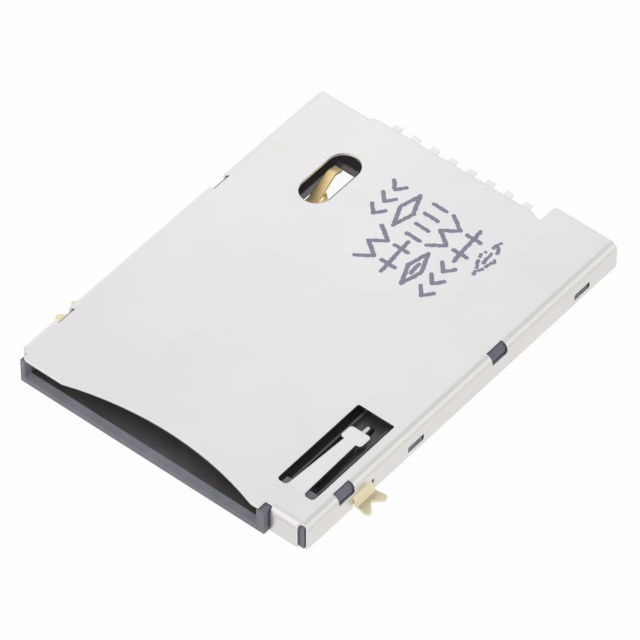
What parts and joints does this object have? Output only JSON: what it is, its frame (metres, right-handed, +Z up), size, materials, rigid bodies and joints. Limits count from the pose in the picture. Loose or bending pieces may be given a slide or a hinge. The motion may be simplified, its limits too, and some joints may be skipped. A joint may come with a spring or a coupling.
{
  "type": "push-push sim card socket",
  "caption": "Low surface-mount sim card socket with a stamped steel cover, sprung contacts, a card switch and a push-push slider.",
  "frame": {"origin": "middle of the footprint, on the board's surface", "axes": "+Z up from the board; +Y the way the card goes in, from the mouth to the solder tails; +X to the slider's side"},
  "size_m": [0.0214, 0.0266, 0.0018],
  "materials": {
    "liquid crystal polymer": "moulded, matte black",
    "stainless sheet": "rolled satin",
    "gilt copper alloy": "thin gold plating",
    "pale gilt terminal": "thin gold plating over nickel",
    "slider nylon": "moulded, slightly glossy black",
    "spring steel wire": "drawn, bright"
  },
  "bodies": {
    "socket": {"housing": "liquid crystal polymer", "cover": "stainless sheet", "contact_1": "gilt copper alloy", "contact_2": "gilt copper alloy", "contact_3": "gilt copper alloy", "contact_4": "gilt copper alloy", "contact_5": "gilt copper alloy", "contact_6": "gilt copper alloy", "switch_arm": "gilt copper alloy", "switch_stop": "gilt copper alloy", "terminal_left": "pale gilt terminal", "terminal_right": "pale gilt terminal", "spring": "spring steel wire"},
    "slider": {"slider": "slider nylon"},
    "cam_pin": {"cam_pin": "spring steel wire"}
  },
  "joints": [
    {"name": "slider_slide", "type": "slide", "parent": "socket", "child": "slider", "axis": [0, 1, 0], "range_m": [0, 0.0048], "stiffness_N_per_m": 60, "springref_m": -0.004, "deforming": ["spring"]},
    {"name": "cam_pin_swing", "type": "hinge", "parent": "socket", "child": "cam_pin", "pos_m": [0.00756, -0.0117, 0.0012], "axis": [0, 0, 1], "range_deg": [0, 4.4]}
  ],
  "couplings": [
    {"joint": "cam_pin_swing", "follows": "slider_slide", "rad_per_m": 15.8}
  ]
}
